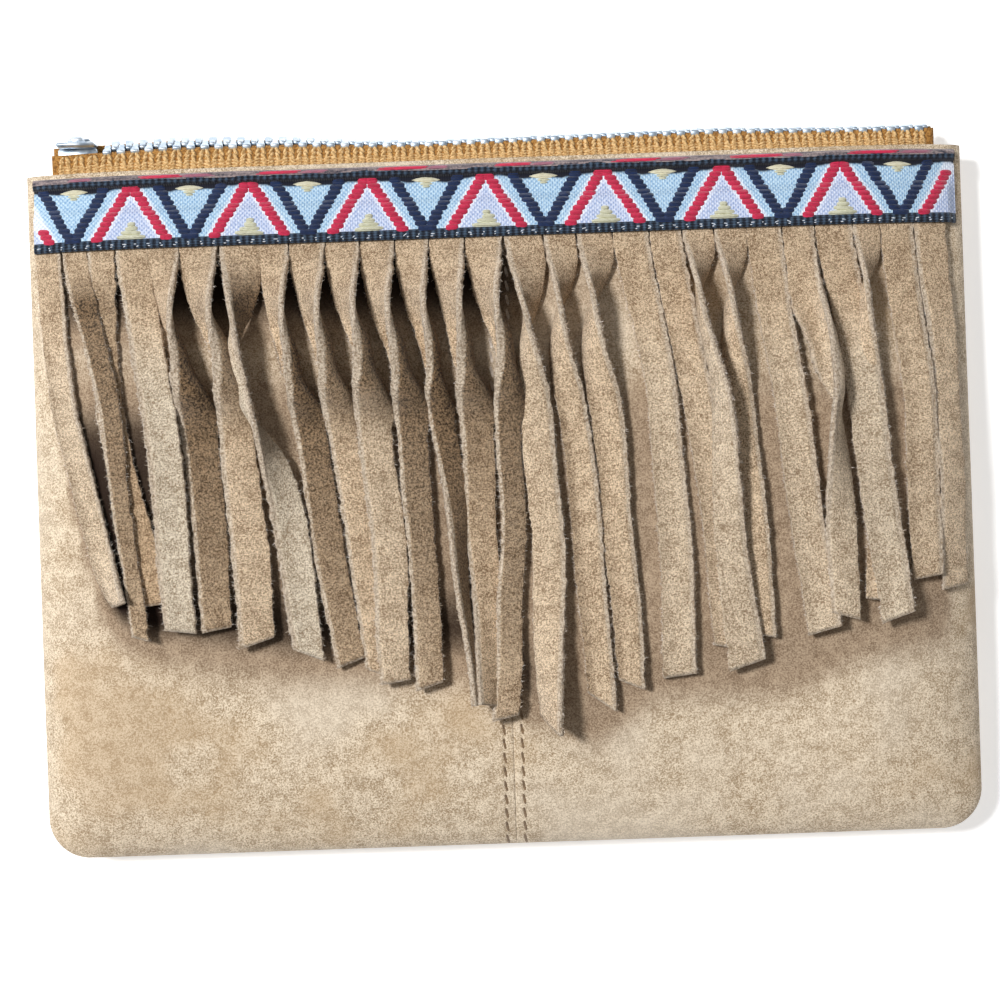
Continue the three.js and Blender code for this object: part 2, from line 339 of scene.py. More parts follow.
def zip_metal():
    finish, place = new_finish("zip_metal")
    wear = finish.noise(place, 0.45, 2.0)
    # The metal's light, bluish colour is partly painted reflection of the pale, cool surroundings; the
    # wear noise varies colour and roughness at random.
    colour = finish.mix(wear.ease(0.35, 0.65), tint(184, 200, 216), tint(226, 236, 245))
    return finish.surface(colour, wear.ease(0.2, 0.8) * 0.15 + 0.38, wear, 0.01, Metallic=1.0)


def glowing_table_top():
    finish, place = new_finish("glowing_table_top")
    grain = finish.noise(place, 0.01, 3.0)
    colour = finish.mix(grain.ease(0.3, 0.7), (0.86, 0.86, 0.86, 1), (0.90, 0.90, 0.90, 1))
    # The table glows: its emission keeps it white where the bag's shadow would fall and lights the bag's
    # lower edges from below.
    return finish.surface(colour, 0.7, specular=0.2, Emission_Color=(1, 1, 1, 1), Emission_Strength=0.45)


# Mesh building


def points_at(x, along, height):
    """Points in metres from places in millimetres."""
    x, along, height = np.broadcast_arrays(x, along, height)
    return np.stack([x, along - MID_LENGTH, height], -1).reshape(-1, 3) / 1000


def show(name, data):
    """An object in the scene."""
    shown = bpy.data.objects.new(name, data)
    bpy.context.scene.collection.objects.link(shown)
    return shown


def make_piece(name, points, faces, finishes, face_finish=None, fields=None):
    mesh = bpy.data.meshes.new(name)
    mesh.from_pydata(points.tolist(), [], [list(map(int, face)) for face in faces])
    for finish in finishes:
        mesh.materials.append(finish)
    if face_finish is not None:
        mesh.polygons.foreach_set("material_index", np.asarray(face_finish, dtype=np.int32))
    for key, values in (fields or {}).items():
        attribute = mesh.attributes.new(key, "FLOAT", "POINT")
        attribute.data.foreach_set("value", np.asarray(values, dtype=np.float32))
    mesh.polygons.foreach_set("use_smooth", np.ones(len(mesh.polygons), dtype=bool))
    mesh.update()
    return show(name, mesh)


def grid_faces(rows, columns):
    """Faces of a lattice of points, row after row."""
    corner = np.arange(rows - 1)[:, None] * columns + np.arange(columns - 1)[None, :]
    return np.stack([corner, corner + 1, corner + 1 + columns, corner + columns], -1).reshape(-1, 4)


def sheet_faces(rows, columns):
    """Faces of a closed sheet: an upper lattice, a lower one, and the walls around them."""
    count = rows * columns
    rim = np.concatenate([
        np.arange(columns),
        np.arange(1, rows) * columns + columns - 1,
        (rows - 1) * columns + np.arange(columns - 2, -1, -1),
        np.arange(rows - 2, 0, -1) * columns,
    ])
    after = np.roll(rim, -1)
    walls = np.stack([rim + count, after + count, after, rim], -1)
    upper = grid_faces(rows, columns)
    return np.concatenate([upper, upper[:, ::-1] + count, walls])


def tube_faces(rings, around):
    """Faces of a closed tube with capped ends."""
    ring = np.arange(rings - 1)[:, None] * around
    spot = np.arange(around)[None, :]
    after = (spot + 1) % around
    sides = np.stack([ring + spot, ring + after, ring + around + after, ring + around + spot], -1)
    first = np.arange(around)[::-1]
    last = (rings - 1) * around + np.arange(around)
    return list(sides.reshape(-1, 4)) + [first, last]


def joined(parts):
    """Points and faces of several meshes as one."""
    points, faces = [], []
    start = 0
    for more_points, more_faces in parts:
        points.append(more_points)
        faces.extend([[index + start for index in face] for face in more_faces])
        start += len(more_points)
    return np.concatenate(points), faces


def skin_points(upper, lower):
    return np.concatenate([points_at(*np.moveaxis(skin, -1, 0)) for skin in (upper, lower)])


def smooth_step(value):
    value = np.clip(value, 0, 1)
    return value * value * (3 - 2 * value)


def softened(values, times):
    """Values along a line with their corners rounded off and both ends kept."""
    values = np.array(values, dtype=float)
    for _ in range(times):
        values[1:-1] = (values[:-2] + 2 * values[1:-1] + values[2:]) / 4
    return values


def ripple(x, along, seed, longest, shortest):
    """Gentle unevenness between about -1 and 1."""
    draw = np.random.default_rng(seed)
    total = 0
    for _ in range(7):
        length = draw.uniform(shortest, longest)
        heading = draw.uniform(0, math.pi)
        turn = draw.uniform(0, 2 * math.pi)
        reach = x * math.cos(heading) + along * math.sin(heading)
        total = total + np.sin(2 * math.pi * reach / length + turn)
    return total / 4


# Body shape


def outline_half_width(along):
    into_corner = np.maximum(0, CORNER_RADIUS - (along - FOLD))
    return WIDTH / 2 - CORNER_RADIUS + np.sqrt(np.maximum(0, CORNER_RADIUS**2 - into_corner**2))


def round_over(distance, roll):
    return np.sqrt(1 - (1 - np.clip(distance / roll, 0, 1)) ** 2)


def front_height(x, along):
    base = SEAM_HEIGHT + GAP / 2
    side = round_over(outline_half_width(along) - np.abs(x), FRONT_ROLL[0])
    bottom = round_over(along - FOLD, FRONT_ROLL[1])
    fallen = smooth_step((along - FRONT_FALL_START) / (MOUTH - FRONT_FALL_START))
    rise = CROWN - base + (MOUTH_FRONT_HEIGHT - CROWN) * fallen
    for dent in DENTS:
        spread = ((x - dent.x) ** 2 + (along - dent.along) ** 2) / dent.reach**2
        rise = rise - dent.depth * np.exp(-spread)
    return base + rise * side * bottom


def back_height(x, along):
    base = SEAM_HEIGHT - GAP / 2
    side = round_over(outline_half_width(along) - np.abs(x), BACK_ROLL[0])
    bottom = round_over(along - FOLD, BACK_ROLL[1])
    lift = MOUTH_BACK_HEIGHT * smooth_step((along - BACK_LIFT_START) / (MOUTH - BACK_LIFT_START))
    return base - (base - lift) * side * bottom


def wall_normal(x, along, roll, depth, face_up):
    edge = np.clip((outline_half_width(along) - np.abs(x)) / roll[0], 0, 1)
    low = np.clip((along - FOLD) / roll[1], 0, 1)
    side_sine = round_over(edge, 1)
    low_sine = round_over(low, 1)
    normal = np.stack([
        np.sign(x) * depth * roll[1] * (1 - edge) * low_sine**2,
        -depth * roll[0] * (1 - low) * side_sine**2,
        face_up * roll[0] * roll[1] * side_sine * low_sine,
    ], -1)
    size = np.linalg.norm(normal, axis=-1, keepdims=True)
    corner = np.stack([np.sign(x), -np.ones_like(x), np.zeros_like(x)], -1) / math.sqrt(2)
    return np.where(size < 1e-6, corner, normal / np.maximum(size, 1e-6))


SEAM_GAP = 0.012
SEAM_STITCH = 1.95
STITCH_PITCH = 3.1
STITCH_START = FOLD + 1.4
STITCHED_LENGTH = 130.0
PALE_STITCH_ALONG = 92.0


def seam_relief(x, along):
    """Open centre seam: a sunk line, and on each side a row of stitches pressed in between puckers."""
    reach = np.abs(x)
    sunk = -0.16 * np.exp(-((reach / 0.22) ** 2)) - 0.1 * np.exp(-((reach / 1.6) ** 4))
    pull = 0.5 + 0.5 * np.cos(2 * math.pi * (along - STITCH_START) / STITCH_PITCH)
    pressed = -0.5 * np.exp(-(((reach - SEAM_STITCH) / 0.34) ** 2)) * pull
    puckered = 0.24 * np.exp(-(((reach - SEAM_STITCH) / 0.5) ** 2)) * (1 - pull) ** 2
    return (sunk + pressed + puckered) * smooth_step((146.0 - along) / 6)


def front_waves(x, along):
    """Unevenness of the front, and the seam's relief, fading out towards the edges."""
    inside = round_over(outline_half_width(along) - np.abs(x), 20.0) * round_over(along - FOLD, 20.0)
    return (0.28 * ripple(x, along, 3, 70, 24) + seam_relief(x, along)) * inside


def roll_stations(roll, roll_steps, flat_end, flat_step, seam=0.0):
    turned = seam + roll * (1 - np.cos(np.linspace(0, math.pi / 2, roll_steps + 1)))
    flat = np.linspace(seam + roll, flat_end, max(2, round((flat_end - seam - roll) / flat_step)) + 1)
    return np.concatenate([turned, flat[1:]])


ShadeEdge = namedtuple("ShadeEdge", "x along")
SHADE_EDGES = [ShadeEdge(*row) for row in [
    (-98, 100), (-92, 72), (-86, 50), (-66, 41), (-46, 38), (-30, 38), (-8, 37),
    (4, 26), (18, 19), (32, 29), (60, 29), (76, 36), (95, 39),
]]


def fringe_painted_shade(x, along):
    """Painted shade on the suede under the fringe, deepest at the roots and by the tips."""
    within = smooth_step((98.0 - np.abs(x)) / 4) * smooth_step((132.0 - along) / 5)
    left = smooth_step((12.0 - x) / 16)
    far_left = smooth_step((-68.0 - x) / 10) * smooth_step((112.0 - along) / 30)
    roots = smooth_step((along - 101.0) / 21) * (0.3 + 0.67 * left)
    # Painted shade under the hanging strips runs on a little below the shade edges, further on the left.
    past_edge = along - np.interp(x, *zip(*SHADE_EDGES))
    by_tips = np.exp(-(((past_edge - 10.0) / 8) ** 2))
    bared = 0.34 * smooth_step((along - 90.0) / 16)
    deepest = 0.48 + 0.1 * left + 0.36 * far_left + (0.1 + 0.2 * left) * by_tips - bared
    hanging = smooth_step((past_edge + 7.0 + 5.0 * left) / (14 + 6 * left)) * deepest
    # A faint painted shade along the far left of the panel.
    left_edge_shade = 0.11 * smooth_step((-66.0 - x) / 14)
    return within * np.maximum(np.maximum(roots, hanging), left_edge_shade)


NEAR_SEAM = (0, 0.2, 0.4, 0.65, 0.9, 1.2, 1.5, 1.75, 1.95, 2.2, 2.5, 2.9, 3.4, 4, 5, 6.5)


def front_panel(name, side, finish):
    along = roll_stations(FRONT_ROLL[1], 56, MOUTH, 0.7, FOLD)[:, None]
    flat_end = WIDTH / 2 - SEAM_GAP
    insets = roll_stations(FRONT_ROLL[0], 14, flat_end - 8.5, 3.0)
    insets = np.concatenate([insets, flat_end - np.array(NEAR_SEAM[::-1])])
    if side > 0:
        insets = insets[::-1]
    half = outline_half_width(along)
    x = side * (half - insets[None, :] * (half - SEAM_GAP) / flat_end)
    along = np.broadcast_to(along, x.shape)
    outer = np.stack([x, along, front_height(x, along) + front_waves(x, along)], -1)
    normal = wall_normal(x, along, FRONT_ROLL, CROWN - SEAM_HEIGHT, 1)
    normal[np.abs(x) < 0.2, 0] = 0
    inner = outer - SUEDE * normal
    inner[..., 2] = np.maximum(inner[..., 2], SEAM_HEIGHT + GAP / 2)
    points = skin_points(outer, inner)
    # Painted shade under the fringe, kept as a point field for the suede's colour.
    painted_shade = np.tile(fringe_painted_shade(x, along).ravel(), 2)
    return make_piece(name, points, sheet_faces(*x.shape), [finish], fields={"painted_shade": painted_shade})


def back_panel(finish):
    along = np.concatenate([
        roll_stations(BACK_ROLL[1], 14, BACK_LIFT_START, 3.0, FOLD),
        np.linspace(BACK_LIFT_START, MOUTH, 12)[1:],
    ])[:, None]
    half_insets = roll_stations(BACK_ROLL[0], 14, WIDTH / 2, 3.0)
    share = np.concatenate([half_insets / (WIDTH / 2) - 1, 1 - half_insets[-2::-1] / (WIDTH / 2)])
    x = share[None, :] * outline_half_width(along)
    along = np.broadcast_to(along, x.shape)
    outer = np.stack([x, along, back_height(x, along)], -1)
    inner = outer - SUEDE * wall_normal(x, along, BACK_ROLL, SEAM_HEIGHT, -1)
    inner[..., 2] = np.minimum(inner[..., 2], SEAM_HEIGHT - GAP / 2)
    points = skin_points(inner, outer)
    return make_piece("back", points, sheet_faces(*x.shape), [finish])


# Floats: small domed threads, many in one mesh


Float = namedtuple("Float", "x along length width height slant")


def dome_floats(rows, surface, taper=0.45):
    """Points and faces of domed threads, one for each float."""
    steps = 7
    sides = 5
    rows = np.asarray(rows, dtype=float)
    run = np.linspace(-1, 1, steps)[:, None]
    rim = np.linspace(-1, 1, sides)[None, :]
    girth = 1 - taper * np.abs(run) ** (6 - 4 * taper)
    local_x = np.broadcast_to(run / 2, (steps, sides)).ravel()
    local_y = (rim * girth / 2).ravel()
    local_z = (np.sqrt(np.maximum(0, 1 - rim**2)) * (1 - 0.75 * run**4)).ravel()
    x, along, length, width, height, slant = (column[:, None] for column in rows.T)
    dx = local_x * length
    dy = local_y * width
    place_x = x + dx * np.cos(slant) - dy * np.sin(slant)
    place_along = along + dx * np.sin(slant) + dy * np.cos(slant)
    place_height = surface(place_x, place_along) + local_z * height - 0.03
    points = points_at(place_x, place_along, place_height)
    faces = grid_faces(steps, sides)
    starts = np.arange(len(rows)) * steps * sides
    return points, (faces[None] + starts[:, None, None]).reshape(-1, 4)


def seam_stitches(brown_stitch_finish, pale_stitch_finish):
    """Two rows of stitches, of a paler thread where the fringe covers them."""
    rows = []
    for side in (-1, 1):
        for index in range(int(STITCHED_LENGTH / STITCH_PITCH)):
            along = STITCH_START + index * STITCH_PITCH
            rows.append(Float(side * SEAM_STITCH, along, 2.3, 0.62, 0.22, math.pi / 2 + 0.2))

    def surface(x, along):
        return front_height(x, along) + front_waves(x, along) + 0.03

    points, faces = dome_floats(rows, surface)
    # Stitches under the fringe use the paler thread.
    pale_stitches = [row.along > PALE_STITCH_ALONG for row in rows]
    face_finish = np.repeat(pale_stitches, len(faces) // len(rows))
    return make_piece("seam_stitches", points, faces, [brown_stitch_finish, pale_stitch_finish], face_finish)


# Fringe

STRIP_THICK = 1.2
Strip = namedtuple(
    "Strip",
    "root_right turn cross upper_left upper_right lower_left lower_right "
    "tip_left tip_left_along tip_right tip_right_along lift tone rough fade",
)
UPPER_ALONG = 95.2
LOWER_ALONG = 65.0
FIRST_ROOT = -101.2
# The rough column darkens each strip: the darker back side of right over strips, painted shade on the low
# side of left over and lift right strips, and on the face of the others.
STRIPS = [Strip(*row) for row in [
    (-95.1, "lift right", 0, -98.3, -92.3, -90.1, -84.8, -85.3, 53.3, -82, 54.4, 0, 0.5, 0.3, 0),
    (-89.1, "lift left", 0, -86.7, -82, -83.2, -79.4, -81.2, 46.9, -77.5, 45.9, 1.6, 0.2, 0.8, 0),
    (-83.1, "lift left", 0, -88.2, -82.2, -80.9, -74.8, -80.3, 53.1, -74.2, 53.7, 0, 0, 0.4, 0),
    (-75.7, "lift left", 0, -77.2, -69.7, -74.8, -67.6, -73.8, 48.1, -67.1, 47.2, 2.6, 0.9, 0, 0),
    (-68.8, "right over", 103, -69.7, -62.2, -66.9, -59.6, -65.9, 47.2, -59.6, 48.3, 0, 0.2, 1, 10),
    (-60.4, "right over", 102, -60.8, -53.8, -59.4, -51.2, -57.8, 43.5, -50.4, 45.8, 1, 0.35, 0.7, 88),
    (-51.6, "left roll", 111, -52.7, -50, -49.6, -42, -46.2, 43, -39.6, 40.4, 1.4, 0.9, 0.75, 78),
    (-44.9, "right over", 99, -45.6, -39.2, -41.5, -34.8, -37.5, 38.6, -31.6, 40.8, 0, 0.2, 1, 8),
    (-37.1, "right over", 102, -38.8, -32.2, -34, -27.7, -31.2, 38.2, -25.7, 36.3, 0, 0.3, 0.8, 84),
    (-29.6, "right over", 102, -31.4, -24.3, -29.1, -21.6, -27.9, 34.9, -21.5, 35.7, 1.4, 0.45, 0.9, 86),
    (-22, "right over", 100, -23.4, -16.8, -21, -15, -20.6, 33.3, -14.8, 35, 0.8, 0.3, 0.95, 5),
    (-14.5, "right over", 100, -15.9, -11.2, -11.8, -8.5, -8.2, 29.9, -6.6, 30.7, 0, 0, 1, -40),
    (-6.7, "right over", 101, -9.4, -2.3, -8.4, -1.9, -6.7, 30.2, -2, 29.2, 0, 0.2, 0.85, 52),
    (1.5, "right over", 102, -1.4, 4, -1.1, 4.1, -4.3, 26.1, 1.4, 27.4, 0.8, 0.3, 0.9, -5),
    (10.1, "left over", 111, 3.7, 10.7, 5.7, 12.6, 6.3, 27.2, 10.5, 22.9, 0.4, 0.4, 0, 0),
    (17.2, "left over", 115, 11.9, 18, 14.4, 21, 16.2, 31.4, 22.2, 27.3, 0.2, 0.3, 0.6, 0),
    (25.2, "left over", 116, 18.7, 25.7, 20.6, 27.5, 23.4, 34.1, 28.9, 31.8, 0.2, 0.3, 0.45, 0),
    (33.2, "lift right", 0, 31.7, 38.2, 32.6, 39.7, 32.9, 34, 40.1, 34.9, 0, 0.55, 0.25, 0),
    (40.3, "lift right", 0, 38.9, 46, 42.4, 49.4, 44.1, 40.8, 51.2, 39.4, 0, 0.45, 0.3, 0),
    (47.2, "left over", 118, 46.2, 48.8, 44.9, 51.2, 46.7, 35.1, 54.5, 37.6, 2, 0.6, 0.15, 0),
    (54.3, "left over", 117, 48.5, 54.5, 50.1, 56.2, 51.3, 43.1, 57.4, 42, 0, 0.3, 0.35, 0),
    (62.1, "lift right", 0, 58.2, 65.5, 61.5, 68.8, 63.8, 42.2, 71, 44.1, 0.8, 0.55, 0.25, 0),
    (69.2, "right over", 95, 68.6, 71.2, 68.1, 74.8, 69.1, 47, 75.1, 45.3, 1.6, 0.6, 0, 0),
    (77.4, "lift right", 0, 74.4, 82.4, 77.1, 84.8, 79.8, 44.3, 87, 46.6, 1.8, 0.7, 0.2, 0),
    (83.4, "left over", 117, 77.4, 83, 77.9, 82.6, 77, 49.7, 82.2, 49.1, 0, 0.4, 0.35, 0),
    (91, "lift right", 0, 86.9, 94, 87.3, 94.7, 87.3, 53.3, 94.2, 54.3, 0, 0.4, 0.3, 0),
    (98.5, "lift left", 0, 94, 100.2, 94.2, 100.3, 94.3, 50.8, 100.4, 51.9, 0, 0.4, 0, 0),
]]
STRIP_TOP = 137.4
STRIP_STEP = 0.8
BELOW_RIBBON = 128.6
LIGHT_TILT = 0.1
Turn = namedtuple("Turn", "raised_edge curl swell")
TURNS = {
    "right over": Turn(1, 3.0, 0.6),
    "left over": Turn(-1, 1.0, 0.0),
    "left roll": Turn(-1, 1.2, 0.0),
    "lift right": Turn(1, 0.0, 0.0),
    "lift left": Turn(-1, 0.0, 0.0),
}
Fold = namedtuple("Fold", "along inward turn")
FOLDS = [Fold(124.0, 0.5, 0.55), Fold(117.0, 1.7, 1.08)]
ROLL_TURNS = [(103.0, -2.35), (91.0, -1.5), (85.0, -0.9)]


def hung_at(hung_width, left, right):
    """Width of a strip and its tilt, from how wide it looks."""
    width = right - left
    if width < 0.75 * hung_width:
        return hung_width, math.acos(width / hung_width)
    return width, LIGHT_TILT


def strip_section(u, width, turn, curl):
    """A strip's section, an arc: across and up from its middle, and the slope there, at u, -1 to 1."""
    slope = turn[:, None] + curl[:, None] * u / 2
    radius = (width / curl)[:, None]
    across = radius * (np.sin(slope) - np.sin(turn)[:, None])
    up = radius * (np.cos(turn)[:, None] - np.cos(slope))
    return across, up, slope


def strip_path(strip, root_left, draw):
    """Rows down a strip: place along, width, centre, turn about its length, curl across it, lift."""
    raised, most_curl, swell = TURNS[strip.turn]
    over = strip.turn.endswith("over")
    root_width = strip.root_right - root_left - 0.25
    root_edge = (root_left + strip.root_right + raised * root_width) / 2
    tip_along = (strip.tip_left_along + strip.tip_right_along) / 2
    marks = [
        (UPPER_ALONG, strip.upper_left, strip.upper_right),
        (LOWER_ALONG, strip.lower_left, strip.lower_right),
        (tip_along, strip.tip_left, strip.tip_right),
    ]
    hung_width = max(root_width * 0.85, *(right - left for _, left, right in marks[:2]))
    places = [(top, root_edge, root_width) for top in (STRIP_TOP, BELOW_RIBBON)]
    turns = [(STRIP_TOP, 0.0), (BELOW_RIBBON, 0.0)]
    if strip.turn == "right over" and strip.cross > UPPER_ALONG:
        places += [(fold.along, root_edge - fold.inward, root_width) for fold in FOLDS]
        turns += [(fold.along, fold.turn) for fold in FOLDS]
    if strip.turn == "left roll":
        turns += ROLL_TURNS
    if strip.cross:
        turns.append((strip.cross, raised * math.pi / 2))
    for mark, left, right in marks:
        width, tilt = hung_at(hung_width, left, right)
        past = over and mark < strip.cross
        places.append((mark, right if (raised > 0) != past else left, width))
        if strip.turn != "left roll" or mark < UPPER_ALONG:
            turns.append((mark, raised * (math.pi - tilt if past else tilt)))
    turns.sort(key=lambda stop: -stop[0])
    count = round((STRIP_TOP - tip_along) / STRIP_STEP) + 1
    along = np.linspace(STRIP_TOP, tip_along, count)
    stops, edges, widths = np.array(places).T
    edge_x = softened(np.interp(-along, -stops, edges), 40)
    width = softened(np.interp(-along, -stops, widths), 30)
    stops, angles = np.array(turns).T
    turn = softened(np.interp(-along, -stops, angles), 16)
    free = smooth_step((130.0 - along) / 25)
    edge_x = edge_x + 0.25 * free * np.sin(along / draw.uniform(5, 9) + draw.uniform(0, 6))
    turn = turn + 0.06 * free * np.sin(along / draw.uniform(6, 10) + draw.uniform(0, 6))
    twisting = smooth_step((122.0 - along) / 16) * smooth_step((along - 88.0) / 12)
    width = width * (1 + swell * twisting)
    curl = 0.02 + most_curl * twisting + draw.uniform(0.0, 0.4) * free
    across, up, _ = strip_section(np.linspace(-1, 1, 9)[None, :], width, turn, curl)
    x = edge_x - across[:, -1 if raised > 0 else 0]
    lift = STRIP_THICK / 2 + GAP - up.min(1) + strip.lift * free
    lift = lift + draw.uniform(0.2, 1.2) * smooth_step(1 - (along - tip_along) / 18)
    return along, width, x, turn, curl, lift


def strip_fields(strip, along, section_u, section_n):
    """Pale cut edges, tone, darker back side and painted shade of a strip, row after row of its section.
    """
    raised = TURNS[strip.turn].raised_edge
    pale = np.clip((raised * section_u - 0.74) / 0.1, 0, 1)
    dull = np.clip((-raised * section_u - 0.86) / 0.1, 0, 1)
    paleness = 0.8 + 0.2 * smooth_step((along - 62.0) / 40) - 0.35 * smooth_step((along - 108.0) / 16)
    edge = paleness[:, None] * (pale + 0.3 * dull)[None, :]
    edge[-1] = 0.7
    tone = 0.25 + (strip.tone - 0.25) * smooth_step((122.0 - along) / 26)
    shown = section_n < 0 if strip.turn.endswith("over") else section_n > 0
    fading = np.clip((along - strip.fade) / (100.0 - strip.fade), 0, 1)
    left_dark = fading * smooth_step((128.0 - along) / 10)
    # On strips that turn over this is the darker back side; on lift left and left roll strips it is
    # painted shade on the face.
    rough = strip.rough * left_dark[:, None] * shown[None, :]
    # Painted shadow of the neighbour's raised edge on the low side of these strips, as strong as their
    # table value.
    if strip.turn in ("left over", "lift right"):
        low_side_shade = smooth_step(-0.1 - 1.1 * raised * section_u) * shown
        rough = strip.rough * low_side_shade[None, :] * smooth_step((116.0 - along) / 12)[:, None]
    # Front faces are made darker towards the roots.
    rough = rough + 0.17 * smooth_step((along - 110.0) / 9)[:, None] * (section_n > 0)[None, :]
    return {"edge": edge.ravel(), "tone": np.repeat(tone, len(section_u)), "rough_side_and_shade": rough.ravel()}


def fringe(finish, fluff_finish):
    across = np.array([-1, -0.93, -0.82, -0.62, -0.35, -0.1, 0.15, 0.4, 0.62, 0.82, 0.93, 1])
    section_u = np.concatenate([across, across[::-1]])
    section_n = np.repeat([1.0, -1.0], len(across))
    parts, fields, fluff_points = [], [], []
    root_left = FIRST_ROOT
    for seed, strip in enumerate(STRIPS):
        draw = np.random.default_rng(100 + seed)
        along, width, x, turn, curl, lift = strip_path(strip, root_left, draw)
        root_left = strip.root_right
        rows = len(along)
        swapped = strip.turn.endswith("over")
        slant = (strip.tip_right_along - strip.tip_left_along) * (-1 if swapped else 1)
        down = (STRIP_TOP - along) / (STRIP_TOP - along[-1])
        uneven = 0.12 * ripple(np.zeros_like(along), along, 300 + seed, 6, 1.7)
        frayed = draw.normal(0, 0.1, (2, rows))

        def spots(u, n):
            """Places on the strip at u across it, -1 to 1, and n through it, -1 to 1."""
            spread, up, slope = strip_section(u, width, turn, curl)
            cut = np.where(u > 0.9, frayed[0][:, None], 0) - np.where(u < -0.9, frayed[1][:, None], 0)
            out = cut + uneven[:, None] * u * np.abs(u)
            rise = n * STRIP_THICK / 2
            spot_x = x[:, None] + spread + out * np.cos(slope) - rise * np.sin(slope)
            spot_along = along[:, None] + slant / 2 * u * (down**4)[:, None]
            above = lift[:, None] + up + out * np.sin(slope) + rise * np.cos(slope)
            return spot_x, spot_along, front_height(spot_x, spot_along) + np.maximum(above, 0.25)

        skin = points_at(*spots(section_u[None, :], section_n[None, :]))
        parts.append((skin, tube_faces(rows, len(section_u))))
        fields.append(strip_fields(strip, along, section_u, section_n))
        fluff_points.append(edge_fibres(spots, rows, draw))
    fields = {key: np.concatenate([field[key] for field in fields]) for key in fields[0]}
    strips = make_piece("fringe_strips", *joined(parts), [finish], fields=fields)
    fluff_points = np.concatenate(fluff_points)
    fluff_faces = np.arange(len(fluff_points)).reshape(-1, 3)
    fluff = make_piece("fringe_fluff", fluff_points, fluff_faces, [fluff_finish])
    return strips, fluff


FIBRES_PER_ROW = 6
FIBRE_REACH = 0.0013
FIBRE_HALF_WIDTH = 0.000045
FIRST_FRAYED_ROW = 10


def edge_fibres(spots, rows, draw):
    """Short loose fibres standing out of both cut edges, three points each."""
    count = (rows - 1 - FIRST_FRAYED_ROW, FIBRES_PER_ROW)
    fibres = []
    for side in (-1, 1):
        u = np.full((1, FIBRES_PER_ROW), float(side))
        n = np.linspace(-0.9, 0.9, FIBRES_PER_ROW)[None, :]
        low = points_at(*spots(u, n)).reshape(rows, FIBRES_PER_ROW, 3)
        out = points_at(*spots(u * 1.25, n * 1.1)).reshape(rows, FIBRES_PER_ROW, 3) - low
        out = out / np.maximum(np.linalg.norm(out, axis=-1, keepdims=True), 1e-9)
        between = draw.uniform(0, 1, (*count, 1))
        root = low[FIRST_FRAYED_ROW:-1] * (1 - between) + low[FIRST_FRAYED_ROW + 1:] * between
        length = draw.uniform(0.2, 0.8, (*count, 1)) ** 1.4 * FIBRE_REACH
        heading = out[FIRST_FRAYED_ROW:-1] + draw.normal(0, 0.75, (*count, 3))
        heading = heading / np.linalg.norm(heading, axis=-1, keepdims=True)
        aside = np.cross(heading, draw.normal(0, 1, heading.shape))
        aside = aside / np.linalg.norm(aside, axis=-1, keepdims=True) * FIBRE_HALF_WIDTH
        fibre = np.stack([root - aside, root + aside, root + heading * length], 2)
        fibres.append(fibre.reshape(-1, 3))
    return np.concatenate(fibres)


# Ribbon


def ribbon_rest(x, along):
    """Underside of the ribbon: over the fringe's top, then stepping down to the panel."""
    step_down = np.clip((along - FRINGE_TOP - GAP) / 2.2, 0, 1)
    last_strip = smooth_step((RIBBON_HALF_WIDTH - x) / 2.2)
    return front_height(x, along) + GAP + (SUEDE + GAP) * (1 - step_down) * last_strip


def ribbon_top(x, along):
    sag = 0.22 * ripple(x, along * 0, 21, 60, 14)
    border = smooth_step((along - RIBBON_LOW) / 0.5) * smooth_step((BORDER_HIGH - along) / 0.5)
    ribs = 0.1 * border * np.sin(2 * math.pi * x / RIB_PITCH)
    from_roll = np.clip((along - ROLL_ALONG - sag) / 1.3, -1, 1)
    roll = np.sqrt(1 - from_roll**2) * 1.7
    face = 0.72 + 0.12 * ripple(x, along, 22, 40, 9)
    tuck = -0.45 * np.exp(-(((along - TUCK_ALONG - sag) / 0.55) ** 2))
    return ribbon_rest(x, along) + face + tuck + 0.42 * border + ribs + np.maximum(roll - 0.2, 0)


def ribbon_band(ground, navy, selvedge):
    stations = np.concatenate([
        np.linspace(RIBBON_LOW, 133.4, 13),
        np.linspace(133.8, 143.2, 16),
        np.linspace(143.5, RIBBON_HIGH, 22),
    ])
    x = RIBBON_HALF_WIDTH * np.sin(np.linspace(-0.5, 0.5, 420) * math.pi)[None, :]
    along = np.broadcast_to(stations[:, None], (len(stations), x.shape[1]))
    x = np.broadcast_to(x, along.shape)
    points = np.concatenate([points_at(x, along, face(x, along)) for face in (ribbon_top, ribbon_rest)])
    faces = sheet_faces(*x.shape)
    middle = points[faces].mean(1) * 1000
    up = middle[:, 1] + MID_LENGTH
    fray = 0.25 * ripple(middle[:, 0], up * 0, 23, 12, 3)
    kind = np.where((up < NAVY_BELOW) | (up > NAVY_ABOVE), 1, 0)
    kind = kind + np.where(up > SELVEDGE_ABOVE + fray, 1, 0)
    return make_piece("ribbon_band", points, faces, [ground, navy, selvedge], kind)


LEG_LENGTH = 2.65
LEG_WIDTH = 1.42
LEG_HEIGHT = 0.46
MARK_LENGTHS = (6.2, 4.3, 2.7, 1.7)
MARK_STEP = 0.92


